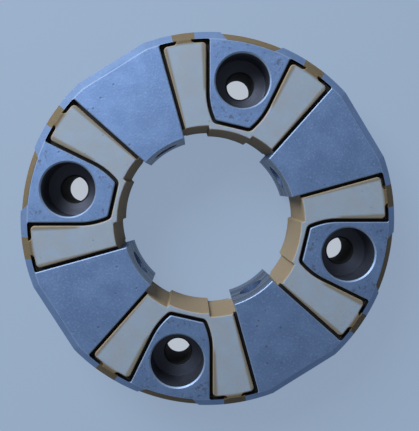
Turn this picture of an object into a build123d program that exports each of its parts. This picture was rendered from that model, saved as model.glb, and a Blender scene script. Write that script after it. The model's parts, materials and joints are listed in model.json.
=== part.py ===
from build123d import *
from math import acos, asin, cos, degrees, radians, sin
import os

os.makedirs("parts", exist_ok=True)

# Disc coupling element: aluminium inserts for axial bolts (to the flange) alternate with
# aluminium inserts for radial bolts (to the hub), and moulded polymer loops join them.
# Millimetres. The back face lies on Z = 0, the counterbored front looks to +Z, and Z is
# the axis of rotation. Each piece is drawn along +Y and turned to its place.

# ---- the whole element
COUNT = 4                       # inserts of each kind
THICKNESS = 46.0                # over the inserts
RIM_R = 105.5                   # outside radius
BOLT_CIRCLE_R = 80.0            # radius of the circle of axial bolts
HUB_SEAT_R = 48.0               # radius of the hub that the radial inserts clamp
PITCH = 360.0 / COUNT           # from one insert to the next of its kind

# ---- the bevel round the rim, on both faces
BEVEL_W = 5.6                   # radial width
BEVEL_MAX_H = 6.0               # along the axis, where the counterbores leave room for it
BEVEL_R = RIM_R - BEVEL_W       # where the flat of each face ends

# ---- bolts
BOLT_HOLE_R = 7.5               # clearance for the M14 bolts
BOLT_SEAT_R = 15.0              # counterbore for the head and its washer
AXIAL_SEAT_DEPTH = 20.0         # counterbore depth in the axial inserts
RADIAL_SEAT_DEPTH = 18.0        # counterbore depth in the radial inserts
HOLE_MOUTH = 1.0                # chamfer where a hole leaves its counterbore
SEAT_CHAMFER = 0.8              # chamfer round each counterbore
SEAT_LAND = 2.0                 # least metal from a radial counterbore to the bevel
SEAT_WALL = 3.1321              # metal from an axial counterbore to the insert's flank
BEVEL_H = min(BEVEL_MAX_H, THICKNESS / 2 - BOLT_SEAT_R - SEAT_LAND)

# ---- axial inserts
NOSE_Y = 55.6                   # straight inner edge, from the axis
NOSE_HALF = 9.4                 # half its length
NOSE_ROUND = 1.6                # rounding of its two corners
CHEEK_R = 72.0                  # where the straight flanks start
AXIAL_FLANK_A = degrees(asin((BOLT_SEAT_R + SEAT_WALL) / BOLT_CIRCLE_R))  # half angle

# ---- radial inserts
SEAT_A = 15.1                   # half angle of the hub seat
RADIAL_FLANK_A = 15.8           # half angle of the flanks at the lips
FLAT_CUT = 2.1                  # what the flat outer face takes off the rim
FLAT_Y = RIM_R - FLAT_CUT       # that face, from the axis

# ---- lips at both faces, which hook over the outer ends of the polymer legs
LIP_WALL = 4.9                  # their thickness
LIP_R = RIM_R - LIP_WALL        # their inner side
LIP_H = 9.0                     # along the axis, at the front and again at the back
AXIAL_LIP_REACH = 4.7           # how far they reach past an axial insert's flank, in degrees
RADIAL_LIP_REACH = 4.5          # and past a radial insert's flank
AXIAL_LIP_A = AXIAL_FLANK_A + AXIAL_LIP_REACH
RADIAL_LIP_A = RADIAL_FLANK_A + RADIAL_LIP_REACH
LIP_ROUND = 1.2                 # rounding between flank and lip

# ---- polymer
BORE_R = 53.0                   # bore beside the radial inserts
PAD_R = 51.0                    # bore under the nose of each axial insert
PAD_A = 13.0                    # half angle of that pad
STRAP_INSET = 1.1               # how far the strap over each axial insert lies inside the rim
STRAP_T = 4.0                   # thickness of that strap
STRAP_R = RIM_R - STRAP_INSET   # outside of the strap
STRAP_SEAT_R = STRAP_R - STRAP_T  # bottom of the insert's recess for it
STRAP_A = 7.6                   # half angle of the recess at its bottom
STRAP_MOUTH_A = 9.8             # half angle of the recess at the rim
FACE_STEP = 0.4                 # polymer below the insert faces
GROOVE_W = 1.9                  # groove round each insert face
GROOVE_D = 5.0                  # depth of that groove
LEG_ROUND = 2.2                 # corners of the legs in plan
POLYMER_EDGE = 0.8              # rounding along the polymer's face edges

METAL_EDGE = 0.5                # chamfer round each insert face


def polar(radius, angle):
    """Point at a radius, at an angle in degrees clockwise from +Y."""
    return (radius * sin(radians(angle)), radius * cos(radians(angle)))


def arc(radius, start, end):
    """Arc about the axis of rotation between two angles."""
    return ThreePointArc(polar(radius, start), polar(radius, (start + end) / 2), polar(radius, end))


def near(point, size=0.01):
    """Filter for the vertices that lie at a point or at its mirror image."""
    return lambda v: abs(abs(v.X) - abs(point[0])) < size and abs(v.Y - point[1]) < size


def axial_outline(lips=True, grow=0.0):
    """Plan of an axial insert along +Y, with or without its lips, grown by a distance."""
    cheek = polar(CHEEK_R, AXIAL_FLANK_A)
    elbow = polar(LIP_R, AXIAL_FLANK_A)
    with BuildSketch() as plan:
        with BuildLine():
            Line((0, NOSE_Y), (NOSE_HALF, NOSE_Y))
            TangentArc(cheek, (NOSE_HALF, NOSE_Y), tangent=(-cheek[0], -cheek[1]))
            if lips:
                Line(cheek, elbow)
                arc(LIP_R, AXIAL_FLANK_A, AXIAL_LIP_A)
                Line(polar(LIP_R, AXIAL_LIP_A), polar(RIM_R, AXIAL_LIP_A))
                arc(RIM_R, AXIAL_LIP_A, STRAP_MOUTH_A)
                Line(polar(RIM_R, STRAP_MOUTH_A), polar(STRAP_SEAT_R, STRAP_A))
                arc(STRAP_SEAT_R, STRAP_A, 0)
            else:
                Line(cheek, polar(STRAP_SEAT_R, AXIAL_FLANK_A))
                arc(STRAP_SEAT_R, AXIAL_FLANK_A, 0)
            mirror(about=Plane.YZ)
        make_face()
        fillet(plan.vertices().filter_by(near((NOSE_HALF, NOSE_Y))), NOSE_ROUND)
        if lips:
            fillet(plan.vertices().filter_by(near(elbow)), LIP_ROUND)
        if grow:
            offset(amount=grow, mode=Mode.REPLACE)
    return plan.sketch


def radial_outline(lips=True, grow=0.0):
    """Plan of a radial insert along +Y, with or without its lips, grown by a distance."""
    elbow = polar(LIP_R, RADIAL_FLANK_A)
    flat_end = degrees(acos(FLAT_Y / RIM_R))
    with BuildSketch() as plan:
        with BuildLine():
            arc(HUB_SEAT_R, 0, SEAT_A)
            Line(polar(HUB_SEAT_R, SEAT_A), elbow)
            if lips:
                arc(LIP_R, RADIAL_FLANK_A, RADIAL_LIP_A)
                Line(polar(LIP_R, RADIAL_LIP_A), polar(RIM_R, RADIAL_LIP_A))
                arc(RIM_R, RADIAL_LIP_A, flat_end)
            else:
                Line(elbow, polar(RIM_R, RADIAL_FLANK_A))
                arc(RIM_R, RADIAL_FLANK_A, flat_end)
            Line(polar(RIM_R, flat_end), (0, FLAT_Y))
            mirror(about=Plane.YZ)
        make_face()
        if lips:
            fillet(plan.vertices().filter_by(near(elbow)), LIP_ROUND)
        if grow:
            offset(amount=grow, mode=Mode.REPLACE)
    return plan.sketch


def bevel_waste(reach=3.0):
    """Half section of what the two rim bevels take away, for a turn about Z."""
    drop = BEVEL_H * (BEVEL_W + reach) / BEVEL_W
    with BuildSketch() as waste:
        with BuildLine():
            Polyline(
                (BEVEL_R, THICKNESS), (RIM_R + reach, THICKNESS),
                (RIM_R + reach, THICKNESS - drop), close=True,
            )
        make_face()
        with BuildLine():
            Polyline((BEVEL_R, 0), (RIM_R + reach, 0), (RIM_R + reach, drop), close=True)
        make_face()
    return waste.sketch


def from_axis(edge):
    """Distance of an edge's middle from the axis of rotation."""
    middle = edge.center()
    return (middle.X**2 + middle.Y**2) ** 0.5


def at_leg_corner(edge):
    """True for the upright edges at the outer corners of the polymer legs."""
    return abs(from_axis(edge) - (LIP_R - GROOVE_W)) < 0.3


def inside_rim(edge):
    """True for the face edges that do not border the bevel."""
    return from_axis(edge) < BEVEL_R


# ---- axial inserts: the counterbore opens to the front
for index in range(COUNT):
    here = Plane.XY.rotated((0, 0, -index * PITCH))
    with BuildPart(here) as axial_insert:
        with BuildSketch(here):
            add(axial_outline(lips=False))
        extrude(amount=THICKNESS)
        with BuildSketch(here, here.offset(THICKNESS - LIP_H)):
            add(axial_outline())
        extrude(amount=LIP_H)
        top = axial_insert.faces().sort_by(Axis.Z)[-1]
        bottom = axial_insert.faces().sort_by(Axis.Z)[0]
        chamfer(top.edges() + bottom.edges(), METAL_EDGE)
        with BuildSketch(Plane.XZ):
            add(bevel_waste())
        revolve(axis=Axis.Z, mode=Mode.SUBTRACT)
        with Locations((0, BOLT_CIRCLE_R, THICKNESS)):
            CounterBoreHole(BOLT_HOLE_R, BOLT_SEAT_R, AXIAL_SEAT_DEPTH)
        rims = axial_insert.edges().filter_by(GeomType.CIRCLE)
        seat_rim = rims.filter_by(lambda e: abs(e.radius - BOLT_SEAT_R) < 0.01).sort_by(Axis.Z)[-1]
        hole_rims = rims.filter_by(lambda e: abs(e.radius - BOLT_HOLE_R) < 0.01)
        chamfer(seat_rim, SEAT_CHAMFER)
        chamfer(hole_rims, HOLE_MOUTH)
    axial_insert.part.label = f"axial_insert_{index + 1}"
    export_step(axial_insert.part, f"parts/axial_insert_{index + 1}.step")

# ---- radial inserts: the counterbore opens in the flat outer face
for index in range(COUNT):
    turn = -(index + 0.5) * PITCH
    here = Plane.XY.rotated((0, 0, turn))
    side = Plane(origin=(0, 0, 0), x_dir=here.y_dir, z_dir=here.x_dir)
    with BuildPart(here) as radial_insert:
        with BuildSketch(here):
            add(radial_outline(lips=False))
        extrude(amount=THICKNESS)
        with BuildSketch(here, here.offset(THICKNESS - LIP_H)):
            add(radial_outline())
        extrude(amount=LIP_H)
        top = radial_insert.faces().sort_by(Axis.Z)[-1]
        bottom = radial_insert.faces().sort_by(Axis.Z)[0]
        chamfer(top.edges() + bottom.edges(), METAL_EDGE)
        with BuildSketch(Plane.XZ):
            add(bevel_waste())
        revolve(axis=Axis.Z, mode=Mode.SUBTRACT)
        with BuildSketch(side):
            add(bevel_waste().moved(Location((FLAT_Y - RIM_R, 0))))
        extrude(amount=RIM_R, both=True, mode=Mode.SUBTRACT)
        with Locations(Plane(origin=(0, FLAT_Y, THICKNESS / 2), z_dir=(0, 1, 0))):
            CounterBoreHole(BOLT_HOLE_R, BOLT_SEAT_R, RADIAL_SEAT_DEPTH)
        rims = radial_insert.edges().filter_by(GeomType.CIRCLE)
        seat_rims = rims.filter_by(lambda e: abs(e.radius - BOLT_SEAT_R) < 0.01)
        hole_rims = rims.filter_by(lambda e: abs(e.radius - BOLT_HOLE_R) < 0.01)
        chamfer(seat_rims.sort_by(Axis((0, 0, 0), here.y_dir))[-1], SEAT_CHAMFER)
        chamfer(hole_rims, HOLE_MOUTH)
    radial_insert.part.label = f"radial_insert_{index + 1}"
    export_step(radial_insert.part, f"parts/radial_insert_{index + 1}.step")

# ---- polymer loops: core bonded to the inserts, grooves round the insert faces
WEDGE_A = PITCH / 2 - min(SEAT_A, RADIAL_FLANK_A) + 1.0     # half angle past a loop's flanks
for index in range(COUNT):
    here = Plane.XY.rotated((0, 0, -index * PITCH))
    front = here.offset(THICKNESS)
    with BuildPart(here) as polymer_loop:
        with BuildSketch(here.offset(FACE_STEP)):
            Circle(RIM_R)
            Circle(BORE_R, mode=Mode.SUBTRACT)
            with BuildLine():
                arc(PAD_R, -PAD_A, PAD_A)
                Line(polar(PAD_R, PAD_A), polar(BORE_R + 1, PAD_A + 1))
                arc(BORE_R + 1, PAD_A + 1, -PAD_A - 1)
                Line(polar(BORE_R + 1, -PAD_A - 1), polar(PAD_R, -PAD_A))
            make_face()
            with BuildLine():
                Polyline((0, 0), polar(3 * RIM_R, -WEDGE_A), polar(3 * RIM_R, WEDGE_A), close=True)
            make_face(mode=Mode.INTERSECT)
            add(axial_outline(lips=False), mode=Mode.SUBTRACT)
            for angle in (-PITCH / 2, PITCH / 2):
                add(radial_outline(lips=False), rotation=angle, mode=Mode.SUBTRACT)
        extrude(amount=THICKNESS - 2 * FACE_STEP)
        # room for the lips of the three inserts
        with BuildSketch(here, here.offset(THICKNESS - LIP_H)):
            add(axial_outline())
            for angle in (-PITCH / 2, PITCH / 2):
                add(radial_outline(), rotation=angle)
        extrude(amount=LIP_H, mode=Mode.SUBTRACT)
        # the strap lies a little inside the rim
        with BuildSketch(here):
            Circle(RIM_R + 1)
            Circle(STRAP_R, mode=Mode.SUBTRACT)
            with BuildLine():
                Polyline((0, 0), polar(3 * RIM_R, -STRAP_MOUTH_A), polar(3 * RIM_R, STRAP_MOUTH_A),
                         close=True)
            make_face(mode=Mode.INTERSECT)
        extrude(amount=THICKNESS, mode=Mode.SUBTRACT)
        # grooves round the insert faces, front and back
        with BuildSketch(here, here.offset(THICKNESS - GROOVE_D)):
            add(axial_outline(grow=GROOVE_W))
            for angle in (-PITCH / 2, PITCH / 2):
                add(radial_outline(grow=GROOVE_W), rotation=angle)
            Circle(LIP_R, mode=Mode.INTERSECT)
        extrude(amount=GROOVE_D, mode=Mode.SUBTRACT)
        fillet(polymer_loop.edges().filter_by(Axis.Z).filter_by(at_leg_corner), LEG_ROUND)
        with BuildSketch(Plane.XZ):
            add(bevel_waste())
        revolve(axis=Axis.Z, mode=Mode.SUBTRACT)
        flats = polymer_loop.faces().filter_by(Axis.Z).filter_by(
            lambda f: min(f.center().Z, THICKNESS - f.center().Z) < FACE_STEP + 0.01)
        fillet(flats.edges().filter_by(inside_rim), POLYMER_EDGE)
    polymer_loop.part.label = f"polymer_loop_{index + 1}"
    export_step(polymer_loop.part, f"parts/polymer_loop_{index + 1}.step")
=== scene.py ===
import json
from math import pi, radians

import bpy
import numpy as np
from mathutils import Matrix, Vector


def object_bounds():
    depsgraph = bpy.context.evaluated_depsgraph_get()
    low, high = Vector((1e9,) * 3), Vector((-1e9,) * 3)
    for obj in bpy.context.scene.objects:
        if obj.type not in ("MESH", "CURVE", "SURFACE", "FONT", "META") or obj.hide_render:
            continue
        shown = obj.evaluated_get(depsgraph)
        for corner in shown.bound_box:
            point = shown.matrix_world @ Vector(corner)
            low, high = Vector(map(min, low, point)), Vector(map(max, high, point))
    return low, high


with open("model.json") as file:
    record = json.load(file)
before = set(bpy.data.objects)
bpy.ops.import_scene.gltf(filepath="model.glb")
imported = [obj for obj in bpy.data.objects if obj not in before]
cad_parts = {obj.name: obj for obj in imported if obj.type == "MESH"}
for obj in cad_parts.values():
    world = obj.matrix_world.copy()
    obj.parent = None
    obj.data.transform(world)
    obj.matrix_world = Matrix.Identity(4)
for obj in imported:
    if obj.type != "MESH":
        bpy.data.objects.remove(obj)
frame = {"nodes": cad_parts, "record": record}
CAD_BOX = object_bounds()

bl_info = {
    "name": "Disc Coupling Finish",
    "version": (1, 0, 0),
    "blender": (4, 5, 0),
    "location": "View3D > Sidebar > Coupling",
    "description": "Gives the disc coupling its cast, machined and moulded finishes, and a stage",
    "category": "Object",
}

# ---- facts of the part, read from its frame, in millimetres
MM = 1000.0
MOUNTS = {mount["name"]: mount for mount in frame["record"]["mounts"]}
BOLT_CIRCLE_R = MOUNTS["flange_bolts"]["dims"]["pcd_mm"] / 2
THICKNESS = (CAD_BOX[1].z - CAD_BOX[0].z) * MM
INSERTS = [name for name in frame["nodes"] if "insert" in name]
LOOPS = [name for name in frame["nodes"] if "polymer" in name]

# ---- landmarks of the disc, in millimetres
SEAT_R = 15.0               # counterbores, from a bolt
GROOVE_IN_R = 54.3          # the grooves lie between these two circles
GROOVE_OUT_R = 99.3
LEG_END_R = 98.9            # outer ends of the polymer legs
LEG_INNER_A = 15.2          # sides of a leg, in degrees from the middle of its axial insert
LEG_OUTER_A = 27.4

# ---- where each finish on the inserts starts and where it is full, in millimetres
UNDER_CHAMFER = (0.7, 1.0)  # below the nearer face
CHAMFER = (1.1, 0.9)
IN_SEAT = (SEAT_R + 0.3, SEAT_R)
IN_CROSS_SEAT = (SEAT_R + 0.1, SEAT_R - 0.1)
OFF_SEAT = (SEAT_R + 0.3, SEAT_R + 0.6)
IN_HOLE = (8.6, 8.2)
ON_HUB_SEAT = (48.6, 48.3)
ON_BEVEL = (99.1, 99.5)
# painted shade on the inserts' groove walls lies between these circles
GROOVE_SHADE_INSIDE = (GROOVE_IN_R - 1, GROOVE_IN_R)
GROOVE_SHADE_OUTSIDE = (GROOVE_OUT_R + 3, GROOVE_OUT_R + 2)
SCUFF_INSIDE = (17.0, 19.5)
SCUFF_OUTSIDE = (27.0, 23.0)
SCUFF_SIDE_A = (14.5, 13.0)     # in degrees, as the leg's sides are

# ---- the same for the loops
# painted shade on the loops' groove walls: below this depth and between these radii
LOOP_GROOVE_SHADE_DEPTH = (0.8, 2.2)
LOOP_GROOVE_SHADE_INSIDE = (GROOVE_IN_R - 1.2, GROOVE_IN_R - 0.6)
LOOP_GROOVE_SHADE_OUTSIDE = (GROOVE_OUT_R + 1.4, GROOVE_OUT_R + 0.6)
FRINGE_INNER_A = (LEG_INNER_A + 1.1, LEG_INNER_A)
FRINGE_OUTER_A = (LEG_OUTER_A - 1.0, LEG_OUTER_A)
FRINGE_FROM = (70.0, 75.0)      # the inner fringe fades out towards the axis
FRINGE_END = (LEG_END_R - 1.6, LEG_END_R)
ON_RIM = (LEG_END_R - 0.3, LEG_END_R + 0.3)

# ---- slopes, from 0 for an upright surface to 1 for a level one
UPRIGHT = (0.6, 0.3)
TILTED = (0.5, 0.6)
NOT_LEVEL = (0.95, 0.85)
ROUNDED = (0.97, 0.55)

# ---- values of noise at which a pattern starts and is full
MOTTLED = (0.35, 0.65)
GRAIN_TIPS = (0.5, 0.75)
SMUDGED = (0.54, 0.64)
CLOUDED = (0.3, 0.7)
BANDED = (0.4, 0.62)
PITTED = (0.34, 0.12)       # distance from the middle of a pit, in cells
MOTTLE_SCALE = 0.09         # mottling and pits, against the grain's scale of 1
PIT_SCALE = 0.42

# ---- how much of each tint shows, from 0 to 1
GRAIN_TINT = 0.22
PIT_TINT = 0.55
SCUFF_TINT = 0.6
BEVEL_TINT = 0.2
# share of the chamfer colour: partly bare machined metal, partly painted highlight
CHAMFER_HIGHLIGHT_TINT = 0.5
# share of painted shade in the counterbores and hub seats
BORE_SHADE_TINT = 0.9
STREAK_TINT = 0.35
# share of painted shade in the grooves
GROOVE_SHADE_TINT = 0.95
CLOUD_TINT = 0.16
LOOP_PIT_TINT = 0.4
# share of painted shade on the faces' edges
FRINGE_SHADE_TINT = 0.75
# share of painted shade on the rim
RIM_SHADE_TINT = 0.9

# ---- roughness and shine, from 0 to 1
METAL_ROUGH = 0.46
METAL_GRAIN_ROUGH = 0.25    # added where the grain is highest
MACHINED_SMOOTH = 0.15      # taken off on machined surfaces
METAL_SHARE = 0.8
LOOP_ROUGH = 0.42
LOOP_GRAIN_ROUGH = 0.2
LOOP_SIDE_ROUGH = 0.25      # added on walls and rounded edges
WAVE_DEPTH = 0.35           # regular part of the tool marks

# ---- stage, in metres, degrees and, for the lens, millimetres
FLOOR_SIDE = 6.0
FLOOR_STEPS = 9             # grid lines each way
FLOOR_DROP = 0.0002         # under the part
LAMP_PLACE = (-0.55, 0.45, 0.6)
LAMP_SIZE = 0.5
CAMERA_PLACE = (-0.01517, 0.01782, 0.36638)
CAMERA_TURN = (-3.04, -1.896, 13.146)
LENS = 49.8
SENSOR = 36.0
CLIP_START = 0.01
FLOOR_GLOW = 0.8            # share of the floor's own colour, whatever light falls on it
# the paler ring is a painted pool of light on the floor under the bolt holes
RING_INSIDE = (62.0, 70.0)  # paler ring under the bolts: start and full, in millimetres
RING_OUTSIDE = (98.0, 90.0)
RING_LIGHT_TINT = 0.4


# ---------------------------------------------------------------- settings
class CouplingSettings(bpy.types.PropertyGroup):
    """Colours, textures and stage of the disc coupling."""

    metal_color: bpy.props.FloatVectorProperty(
        name="Cast metal", description="Colour of the cast aluminium faces",
        default=(0.155, 0.262, 0.5), size=3, min=0, max=1, subtype="COLOR")
    metal_dark: bpy.props.FloatVectorProperty(
        name="Cast metal, dull", description="Colour of the duller patches of the casting skin",
        default=(0.13, 0.225, 0.44), size=3, min=0, max=1, subtype="COLOR")
    # painted shade in the counterbores and hub seats; the same colour also marks pits and scuffs
    bore_shade_and_wear_color: bpy.props.FloatVectorProperty(
        name="Bores", description="Colour of the oily machined counterbores",
        default=(0.075, 0.08, 0.1), size=3, min=0, max=1, subtype="COLOR")
    # bare metal with a painted highlight on the chamfers; the same colour also tints bright grain,
    # tool-mark streaks and the paler bevel
    bare_edge_and_highlight_color: bpy.props.FloatVectorProperty(
        name="Bare edges", description="Colour of the bright machined chamfers",
        default=(0.42, 0.56, 0.76), size=3, min=0, max=1, subtype="COLOR")
    polymer_color: bpy.props.FloatVectorProperty(
        name="Polymer", description="Colour of the moulded elastomer faces",
        default=(0.245, 0.325, 0.435), size=3, min=0, max=1, subtype="COLOR")
    # painted shade on the elastomer's walls and rounded edges; the same colour also clouds the faces
    polymer_side_shade_and_cloud: bpy.props.FloatVectorProperty(
        name="Polymer walls", description="Colour of the elastomer's upright walls and rounded edges",
        default=(0.27, 0.215, 0.14), size=3, min=0, max=1, subtype="COLOR")
    # painted shade on the rounded edges of the elastomer's faces
    fringe_shade_color: bpy.props.FloatVectorProperty(
        name="Polymer fringe", description="Colour of the rubbed edges of the elastomer's faces",
        default=(0.15, 0.12, 0.06), size=3, min=0, max=1, subtype="COLOR")
    # painted shade on the elastomer's rim bevel
    rim_color: bpy.props.FloatVectorProperty(
        name="Polymer rim", description="Colour of the oil-stained elastomer at the rim",
        default=(0.115, 0.09, 0.05), size=3, min=0, max=1, subtype="COLOR")
    # painted shade in the grooves and bolt holes; the same colour also marks the elastomer's pits
    groove_shade_and_pit_color: bpy.props.FloatVectorProperty(
        name="Grooves", description="Colour of the dirt in the grooves round the inserts",
        default=(0.012, 0.014, 0.018), size=3, min=0, max=1, subtype="COLOR")
    floor_color: bpy.props.FloatVectorProperty(
        name="Floor", description="Colour of the pale floor",
        default=(0.31, 0.41, 0.56), size=3, min=0, max=1, subtype="COLOR")
    grain_size: bpy.props.FloatProperty(
        name="Casting grain", description="Size of the casting skin's grain, in millimetres",
        default=1.1, min=0.1, max=10)
    grain_depth: bpy.props.FloatProperty(
        name="Grain depth", description="Depth of the casting skin's grain",
        default=0.00012, min=0, max=0.001, unit="LENGTH")
    key_power: bpy.props.FloatProperty(
        name="Key light", description="Power of the large soft lamp",
        default=11.0, min=0, unit="POWER")
    sky_strength: bpy.props.FloatProperty(
        name="Sky", description="Strength of the even light from all round",
        default=0.22, min=0, max=2)


# ---------------------------------------------------------------- node helpers
class Sheet:
    """A node tree that is written one call at a time. Numbers set a socket, sockets are linked."""

    def __init__(self, tree):
        self.tree = tree

    def put(self, kind, inputs=(), **settings):
        """Adds a node, sets its settings, and feeds its inputs by name or number."""
        node = self.tree.nodes.new(kind)
        for key, value in settings.items():
            setattr(node, key, value)
        for key, value in dict(inputs).items():
            self.feed(node.inputs[key], value)
        return node

    def feed(self, socket, value):
        """Links a socket to another, or sets its value. Colours get an alpha of one."""
        if isinstance(value, bpy.types.NodeSocket):
            self.tree.links.new(value, socket)
        elif socket.type == "RGBA":
            socket.default_value = (*value[:3], 1.0)
        else:
            socket.default_value = value

    def calc(self, operation, *values):
        """One Math node."""
        node = self.put("ShaderNodeMath", enumerate(values), operation=operation)
        return node.outputs[0]

    def ramp(self, value, start, end):
        """0 below start, 1 above end, smooth between. A start above end turns it round."""
        low, high = min(start, end), max(start, end)
        node = self.put(
            "ShaderNodeMapRange",
            {0: value, 1: low, 2: high, 3: float(start > end), 4: float(start <= end)},
            interpolation_type="SMOOTHSTEP")
        return node.outputs[0]

    def both(self, *masks):
        """Product of masks."""
        product = masks[0]
        for mask in masks[1:]:
            product = self.calc("MULTIPLY", product, mask)
        return product

    def blend(self, factor, first, second):
        """Colour mix from first at 0 to second at 1."""
        node = self.put("ShaderNodeMix", data_type="RGBA")
        self.feed(node.inputs[0], factor)
        self.feed(node.inputs[6], first)
        self.feed(node.inputs[7], second)
        return node.outputs[2]

    def tint(self, color, mask, share, paint):
        """Colour with a share of paint laid over it where the mask is 1."""
        return self.blend(self.calc("MULTIPLY", mask, share), color, paint)

    def group(self, tree, inputs=()):
        """One use of a node group, with its own values."""
        node = self.tree.nodes.new("ShaderNodeGroup")
        node.node_tree = tree
        for key, value in dict(inputs).items():
            self.feed(node.inputs[key], value)
        return node.outputs


def new_group(name, inputs, outputs):
    """A shader node group with named sockets: (tree, sheet, its inputs, setter of an output)."""
    tree = bpy.data.node_groups.new(name, "ShaderNodeTree")
    for label, kind in inputs.items():
        tree.interface.new_socket(label, in_out="INPUT", socket_type=kind)
    for label, kind in outputs.items():
        tree.interface.new_socket(label, in_out="OUTPUT", socket_type=kind)
    sheet = Sheet(tree)
    source = tree.nodes.new("NodeGroupInput")
    sink = tree.nodes.new("NodeGroupOutput")
    return tree, sheet, source.outputs, lambda label, value: sheet.feed(sink.inputs[label], value)


VALUE, VECTOR = "NodeSocketFloat", "NodeSocketVector"


def ring_places():
    """Where a point lies on the coupling: millimetres, distances from its axes, and its slope."""
    if "ring_places" in bpy.data.node_groups:
        return bpy.data.node_groups["ring_places"]
    tree, sheet, _, out = new_group(
        "ring_places", {},
        {"Place": VECTOR, "Radius": VALUE, "Depth": VALUE, "Bolt": VALUE, "Cross Bolt": VALUE,
         "Height": VALUE, "Angle": VALUE, "Flat": VALUE})
    point = sheet.put("ShaderNodeTexCoord")
    place = sheet.put("ShaderNodeVectorMath", {0: point.outputs["Object"], 1: (MM, MM, MM)},
                      operation="MULTIPLY").outputs[0]
    axis = sheet.put("ShaderNodeSeparateXYZ", {0: place}).outputs
    slope = sheet.put("ShaderNodeSeparateXYZ", {0: point.outputs["Normal"]}).outputs
    x, y = sheet.calc("ABSOLUTE", axis[0]), sheet.calc("ABSOLUTE", axis[1])
    far, near = sheet.calc("MAXIMUM", x, y), sheet.calc("MINIMUM", x, y)
    middle = sheet.calc("SUBTRACT", axis[2], THICKNESS / 2)
    off_circle = sheet.calc("SUBTRACT", far, BOLT_CIRCLE_R)
    across = sheet.calc("MULTIPLY", sheet.calc("SUBTRACT", far, near), 0.5**0.5)

    def length(a, b):
        return sheet.calc("SQRT", sheet.calc("ADD", sheet.calc("MULTIPLY", a, a),
                                             sheet.calc("MULTIPLY", b, b)))

    out("Place", place)
    out("Radius", length(x, y))
    out("Depth", sheet.calc("SUBTRACT", THICKNESS / 2, sheet.calc("ABSOLUTE", middle)))
    out("Bolt", length(off_circle, near))
    out("Cross Bolt", length(across, middle))
    out("Height", axis[2])
    out("Angle", sheet.calc("DEGREES", sheet.calc("ARCTAN2", near, far)))
    out("Flat", sheet.calc("ABSOLUTE", slope[2]))
    return tree


def skin_grain():
    """Fine grain, broad mottling and scattered pits of a cast or moulded skin."""
    if "skin_grain" in bpy.data.node_groups:
        return bpy.data.node_groups["skin_grain"]
    tree, sheet, given, out = new_group(
        "skin_grain", {"Place": VECTOR, "Size": VALUE, "Pit Share": VALUE},
        {"Grain": VALUE, "Mottle": VALUE, "Pits": VALUE})
    fine = sheet.calc("DIVIDE", 1.0, given["Size"])
    out("Grain", sheet.put("ShaderNodeTexNoise", {"Vector": given["Place"], "Scale": fine,
                                                  "Detail": 3.0, "Roughness": 0.62}).outputs[0])
    broad = sheet.calc("DIVIDE", MOTTLE_SCALE, given["Size"])
    out("Mottle", sheet.put("ShaderNodeTexNoise", {"Vector": given["Place"], "Scale": broad,
                                                   "Detail": 4.0, "Roughness": 0.55}).outputs[0])
    spread = sheet.calc("DIVIDE", PIT_SCALE, given["Size"])
    cell = sheet.put("ShaderNodeTexVoronoi", {"Vector": given["Place"], "Scale": spread})
    pick = sheet.put("ShaderNodeSeparateColor", {0: cell.outputs["Color"]}).outputs[0]
    chosen = sheet.calc("LESS_THAN", pick, given["Pit Share"])
    out("Pits", sheet.both(chosen, sheet.ramp(cell.outputs["Distance"], *PITTED)))
    return tree


def tool_marks():
    """Fine tool marks along a distance, uneven in depth: a sine of distance over pitch, plus noise."""
    if "tool_marks" in bpy.data.node_groups:
        return bpy.data.node_groups["tool_marks"]
    tree, sheet, given, out = new_group(
        "tool_marks", {"Distance": VALUE, "Pitch": VALUE}, {"Marks": VALUE, "Bands": VALUE})
    turns = sheet.calc("DIVIDE", given["Distance"], given["Pitch"])
    wave = sheet.calc("SINE", sheet.calc("MULTIPLY", turns, 2 * pi))
    noise = sheet.put("ShaderNodeTexNoise", {"W": turns, "Scale": 0.8, "Detail": 2.0},
                      noise_dimensions="1D").outputs[0]
    bands = sheet.put("ShaderNodeTexNoise", {"W": turns, "Scale": 0.16, "Detail": 3.0},
                      noise_dimensions="1D").outputs[0]
    out("Marks", sheet.calc("ADD", sheet.calc("MULTIPLY", wave, WAVE_DEPTH), noise))
    out("Bands", sheet.ramp(bands, *BANDED))
    return tree


def new_material(name):
    """An empty material with a Principled shader: (material, sheet, shader)."""
    material = bpy.data.materials.new(name)
    material.use_nodes = True
    tree = material.node_tree
    return material, Sheet(tree), tree.nodes["Principled BSDF"]


def dress(names, material):
    """Puts one material on every slot of the CAD nodes."""
    for name in names:
        node = frame["nodes"][name]
        for slot in node.material_slots:
            slot.link = "DATA"
            slot.material = material
        if not node.material_slots:
            node.data.materials.append(material)


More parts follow.
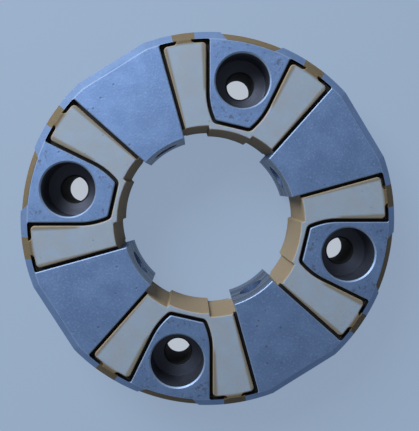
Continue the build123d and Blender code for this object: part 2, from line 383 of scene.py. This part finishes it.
# ---------------------------------------------------------------- pieces
def insert_masks(sheet, spot):
    """Masks of an insert's surfaces, by name: 1 on the surface and 0 elsewhere."""
    wall = sheet.ramp(spot["Flat"], *UPRIGHT)
    slope = sheet.both(sheet.ramp(spot["Flat"], *TILTED), sheet.ramp(spot["Flat"], *NOT_LEVEL))
    sunk = sheet.ramp(spot["Depth"], *UNDER_CHAMFER)
    smudge = sheet.put("ShaderNodeTexNoise", {"Vector": spot["Place"], "Scale": 0.33,
                                              "Detail": 4.0, "Roughness": 0.7}).outputs[0]
    return {
        "seat": sheet.both(sheet.ramp(spot["Bolt"], *IN_SEAT), sunk),
        "hole": sheet.both(sheet.ramp(spot["Bolt"], *IN_HOLE), sunk),
        "cross seat": sheet.both(sheet.ramp(spot["Cross Bolt"], *IN_CROSS_SEAT), sunk, wall),
        "hub seat": sheet.both(sheet.ramp(spot["Radius"], *ON_HUB_SEAT), wall),
        "groove": sheet.both(wall, sunk, sheet.ramp(spot["Radius"], *GROOVE_SHADE_INSIDE),
                             sheet.ramp(spot["Bolt"], *OFF_SEAT),
                             sheet.ramp(spot["Radius"], *GROOVE_SHADE_OUTSIDE)),
        "chamfer": sheet.both(slope, sheet.ramp(spot["Depth"], *CHAMFER)),
        "bevel": sheet.both(slope, sheet.ramp(spot["Radius"], *ON_BEVEL)),
        "scuff": sheet.both(sheet.ramp(smudge, *SMUDGED), sheet.ramp(spot["Bolt"], *SCUFF_INSIDE),
                            sheet.ramp(spot["Bolt"], *SCUFF_OUTSIDE),
                            sheet.ramp(spot["Angle"], *SCUFF_SIDE_A)),
    }


def cast_color(sheet, look, skin, mask):
    """Colour of the cast skin: mottled, with bright grains, dark pits, scuffs and a paler bevel."""
    color = sheet.blend(sheet.ramp(skin["Mottle"], *MOTTLED), look.metal_dark, look.metal_color)
    color = sheet.tint(color, sheet.ramp(skin["Grain"], *GRAIN_TIPS), GRAIN_TINT, look.bare_edge_and_highlight_color)
    color = sheet.tint(color, skin["Pits"], PIT_TINT, look.bore_shade_and_wear_color)
    color = sheet.tint(color, mask["scuff"], SCUFF_TINT, look.bore_shade_and_wear_color)
    return sheet.tint(color, mask["bevel"], BEVEL_TINT, look.bare_edge_and_highlight_color)


class COUPLING_OT_inserts(bpy.types.Operator):
    """Gives the inserts their cast skin, painted shade in the counterbores, hub seats, bolt holes and
    grooves, chamfers that are partly bare metal and partly painted highlight, and machined hub seats.
    """

    bl_idname = "coupling.inserts"
    bl_label = "Finish Inserts"

    def execute(self, context):
        look = context.scene.coupling
        material, sheet, shader = new_material("cast_aluminium")
        spot = sheet.group(ring_places())
        skin = sheet.group(skin_grain(), {"Place": spot["Place"], "Size": look.grain_size,
                                          "Pit Share": 0.05})
        turned = sheet.group(tool_marks(), {"Distance": spot["Bolt"], "Pitch": 0.45})
        planed = sheet.group(tool_marks(), {"Distance": spot["Height"], "Pitch": 0.7})
        mask = insert_masks(sheet, spot)

        color = cast_color(sheet, look, skin, mask)
        # painted highlight, partly bare machined metal: the chamfers made lighter
        color = sheet.tint(color, mask["chamfer"], CHAMFER_HIGHLIGHT_TINT, look.bare_edge_and_highlight_color)
        # painted shade: the hub seats darkened
        color = sheet.tint(color, mask["hub seat"], BORE_SHADE_TINT, look.bore_shade_and_wear_color)
        streaks = sheet.both(mask["hub seat"], planed["Bands"])
        color = sheet.tint(color, streaks, STREAK_TINT, look.bare_edge_and_highlight_color)
        # painted shade: the counterbores darkened
        color = sheet.tint(color, mask["seat"], BORE_SHADE_TINT, look.bore_shade_and_wear_color)
        # painted shade: the bolt holes' walls made nearly black
        color = sheet.blend(mask["hole"], color, look.groove_shade_and_pit_color)
        # painted shade: the groove walls darkened below the chamfer
        color = sheet.tint(color, mask["groove"], GROOVE_SHADE_TINT, look.groove_shade_and_pit_color)
        sheet.feed(shader.inputs["Base Color"], color)

        machined = sheet.calc("MAXIMUM", mask["hub seat"], mask["cross seat"])
        machined = sheet.calc("MAXIMUM", mask["seat"], machined)
        rough = sheet.calc("MULTIPLY_ADD", skin["Grain"], METAL_GRAIN_ROUGH, METAL_ROUGH)
        smoother = sheet.calc("MULTIPLY", machined, MACHINED_SMOOTH)
        rough = sheet.calc("SUBTRACT", rough, smoother)
        sheet.feed(shader.inputs["Roughness"], sheet.calc("MAXIMUM", rough, mask["hole"]))
        bare = sheet.calc("SUBTRACT", 1.0, mask["hole"])
        sheet.feed(shader.inputs["Metallic"], sheet.calc("MULTIPLY", bare, METAL_SHARE))

        rise = sheet.calc("SUBTRACT", skin["Grain"], skin["Pits"])
        rise = sheet.calc("MULTIPLY", rise, sheet.calc("SUBTRACT", 1.0, machined))
        lines = sheet.calc("ADD", sheet.both(mask["seat"], turned["Marks"]),
                           sheet.both(mask["hub seat"], planed["Marks"]))
        bump = sheet.put("ShaderNodeBump", {"Strength": 0.55, "Distance": look.grain_depth,
                                            "Height": sheet.calc("ADD", rise, lines)})
        sheet.feed(shader.inputs["Normal"], bump.outputs[0])
        dress(INSERTS, material)
        return {"FINISHED"}


def polymer_masks(sheet, spot):
    """Masks of a loop's surfaces, by name: 1 on the surface and 0 elsewhere."""
    inner = sheet.both(sheet.ramp(spot["Angle"], *FRINGE_INNER_A),
                       sheet.ramp(spot["Radius"], *FRINGE_FROM))
    outer = sheet.ramp(spot["Angle"], *FRINGE_OUTER_A)
    end = sheet.ramp(spot["Radius"], *FRINGE_END)
    return {
        "side": sheet.ramp(spot["Flat"], *ROUNDED),
        "groove": sheet.both(sheet.ramp(spot["Depth"], *LOOP_GROOVE_SHADE_DEPTH),
                             sheet.ramp(spot["Radius"], *LOOP_GROOVE_SHADE_INSIDE),
                             sheet.ramp(spot["Radius"], *LOOP_GROOVE_SHADE_OUTSIDE)),
        "fringe": sheet.calc("MAXIMUM", sheet.calc("MAXIMUM", inner, outer), end),
        "rim": sheet.ramp(spot["Radius"], *ON_RIM),
    }


class COUPLING_OT_polymer(bpy.types.Operator):
    """Gives the elastomer loops their satin faces, amber painted shade on their walls, face edges and
    rim, and nearly black painted shade in their grooves.
    """

    bl_idname = "coupling.polymer"
    bl_label = "Finish Polymer"

    def execute(self, context):
        look = context.scene.coupling
        material, sheet, shader = new_material("moulded_elastomer")
        spot = sheet.group(ring_places())
        skin = sheet.group(skin_grain(), {"Place": spot["Place"], "Size": look.grain_size * 0.7,
                                          "Pit Share": 0.015})
        mask = polymer_masks(sheet, spot)

        cloud = sheet.ramp(skin["Mottle"], *CLOUDED)
        face = sheet.tint(look.polymer_color, cloud, CLOUD_TINT, look.polymer_side_shade_and_cloud)
        face = sheet.tint(face, skin["Pits"], LOOP_PIT_TINT, look.groove_shade_and_pit_color)
        # painted shade: the faces darker where they round off into the grooves and at the legs' ends
        face = sheet.tint(face, mask["fringe"], FRINGE_SHADE_TINT, look.fringe_shade_color)
        # painted shade: walls and rounded edges in a darker amber than the faces
        color = sheet.blend(mask["side"], face, look.polymer_side_shade_and_cloud)
        # painted shade: the rim bevel darkened to brown
        color = sheet.tint(color, mask["rim"], RIM_SHADE_TINT, look.rim_color)
        # painted shade: the loops' groove walls made nearly black below the face
        color = sheet.blend(mask["groove"], color, look.groove_shade_and_pit_color)
        sheet.feed(shader.inputs["Base Color"], color)

        rough = sheet.calc("MULTIPLY_ADD", skin["Grain"], LOOP_GRAIN_ROUGH, LOOP_ROUGH)
        rough = sheet.calc("MULTIPLY_ADD", mask["side"], LOOP_SIDE_ROUGH, rough)
        sheet.feed(shader.inputs["Roughness"], rough)
        shader.inputs["Specular IOR Level"].default_value = 0.3
        shader.inputs["Subsurface Weight"].default_value = 0.3
        shader.inputs["Subsurface Radius"].default_value = (1.0, 0.42, 0.12)
        shader.inputs["Subsurface Scale"].default_value = 0.004

        rise = sheet.calc("SUBTRACT", skin["Grain"], skin["Pits"])
        bump = sheet.put("ShaderNodeBump", {"Strength": 0.35, "Distance": look.grain_depth,
                                            "Height": rise})
        sheet.feed(shader.inputs["Normal"], bump.outputs[0])
        dress(LOOPS, material)
        return {"FINISHED"}


def floor_mesh():
    """A flat square grid a hair under the part: x and y run evenly from edge to edge."""
    span = np.linspace(-FLOOR_SIDE / 2, FLOOR_SIDE / 2, FLOOR_STEPS)
    x, y = np.meshgrid(span, span, indexing="ij")
    points = np.stack([x, y, np.full_like(x, -FLOOR_DROP)], axis=-1).reshape(-1, 3)
    cells = np.arange(FLOOR_STEPS - 1)
    corner = (cells[:, None] * FLOOR_STEPS + cells).reshape(-1)
    faces = np.stack([corner, corner + FLOOR_STEPS, corner + FLOOR_STEPS + 1, corner + 1], axis=-1)
    mesh = bpy.data.meshes.new("floor")
    mesh.from_pydata(points.tolist(), [], faces.tolist())
    return mesh


def floor_material(look):
    """Matt floor that shows mostly its own colour, keeps shadows, and has a paler ring of painted
    light under the bolts.
    """
    material, sheet, shader = new_material("pale_floor")
    shader.inputs["Base Color"].default_value = (*look.floor_color, 1)
    shader.inputs["Roughness"].default_value = 0.9
    rays = sheet.put("ShaderNodeLightPath").outputs
    mirrored = sheet.calc("MAXIMUM", rays["Is Glossy Ray"], rays["Is Transmission Ray"])
    seen = sheet.calc("MAXIMUM", rays["Is Camera Ray"], mirrored)
    spot = sheet.group(ring_places())
    ring = sheet.both(sheet.ramp(spot["Radius"], *RING_INSIDE),
                      sheet.ramp(spot["Radius"], *RING_OUTSIDE))
    # painted light: a paler ring on the floor under the bolt holes
    color = sheet.tint(look.floor_color, ring, RING_LIGHT_TINT, (1.0, 1.0, 1.0))
    glow = sheet.put("ShaderNodeEmission", {"Color": color, "Strength": 1.0})
    show = sheet.put("ShaderNodeMixShader", {0: sheet.calc("MULTIPLY", seen, FLOOR_GLOW),
                                             1: shader.outputs[0], 2: glow.outputs[0]})
    out = material.node_tree.nodes["Material Output"]
    sheet.feed(out.inputs["Surface"], show.outputs[0])
    return material


def add_lights(scene, look):
    """A white sky and one large soft lamp that points at the part."""
    world = bpy.data.worlds.new("sky")
    world.use_nodes = True
    sky = world.node_tree.nodes["Background"]
    sky.inputs["Color"].default_value = (1, 1, 1, 1)
    sky.inputs["Strength"].default_value = look.sky_strength
    scene.world = world

    lamp = bpy.data.lights.new("key", "AREA")
    lamp.energy = look.key_power
    lamp.size = LAMP_SIZE
    key = bpy.data.objects.new("key", lamp)
    key.location = LAMP_PLACE
    key.rotation_euler = (-Vector(key.location)).to_track_quat("-Z", "Y").to_euler()
    scene.collection.objects.link(key)


def add_camera(scene):
    """A camera above the disc, a little off its axis."""
    lens = bpy.data.cameras.new("camera")
    lens.sensor_fit = "HORIZONTAL"
    lens.sensor_width = SENSOR
    lens.lens = LENS
    lens.clip_start = CLIP_START
    camera = bpy.data.objects.new("camera", lens)
    camera.location = CAMERA_PLACE
    camera.rotation_euler = [radians(turn) for turn in CAMERA_TURN]
    scene.collection.objects.link(camera)
    scene.camera = camera


class COUPLING_OT_stage(bpy.types.Operator):
    """Lays the pale floor and adds the soft lamp, the sky and the camera above the disc."""

    bl_idname = "coupling.stage"
    bl_label = "Set Stage"

    def execute(self, context):
        look = context.scene.coupling
        scene = context.scene
        mesh = floor_mesh()
        mesh.materials.append(floor_material(look))
        floor = bpy.data.objects.new("floor", mesh)
        scene.collection.objects.link(floor)
        add_lights(scene, look)
        add_camera(scene)
        scene.view_settings.view_transform = "Standard"
        return {"FINISHED"}


class COUPLING_PT_panel(bpy.types.Panel):
    """Lists the finishing steps of the disc coupling and their settings."""

    bl_label = "Disc Coupling"
    bl_idname = "COUPLING_PT_panel"
    bl_space_type = "VIEW_3D"
    bl_region_type = "UI"
    bl_category = "Coupling"

    def draw(self, context):
        for step in STEPS:
            self.layout.operator(step.bl_idname)
        for key in CouplingSettings.__annotations__:
            self.layout.prop(context.scene.coupling, key)


STEPS = (COUPLING_OT_inserts, COUPLING_OT_polymer, COUPLING_OT_stage)
CLASSES = (CouplingSettings, *STEPS, COUPLING_PT_panel)


def register():
    """Adds the classes and the scene's settings."""
    for item in CLASSES:
        bpy.utils.register_class(item)
    bpy.types.Scene.coupling = bpy.props.PointerProperty(type=CouplingSettings)


def unregister():
    """Takes them away again."""
    del bpy.types.Scene.coupling
    for item in reversed(CLASSES):
        bpy.utils.unregister_class(item)


def main():
    """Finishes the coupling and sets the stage."""
    register()
    bpy.ops.coupling.inserts()
    bpy.ops.coupling.polymer()
    bpy.ops.coupling.stage()


if __name__ == "__main__":
    main()
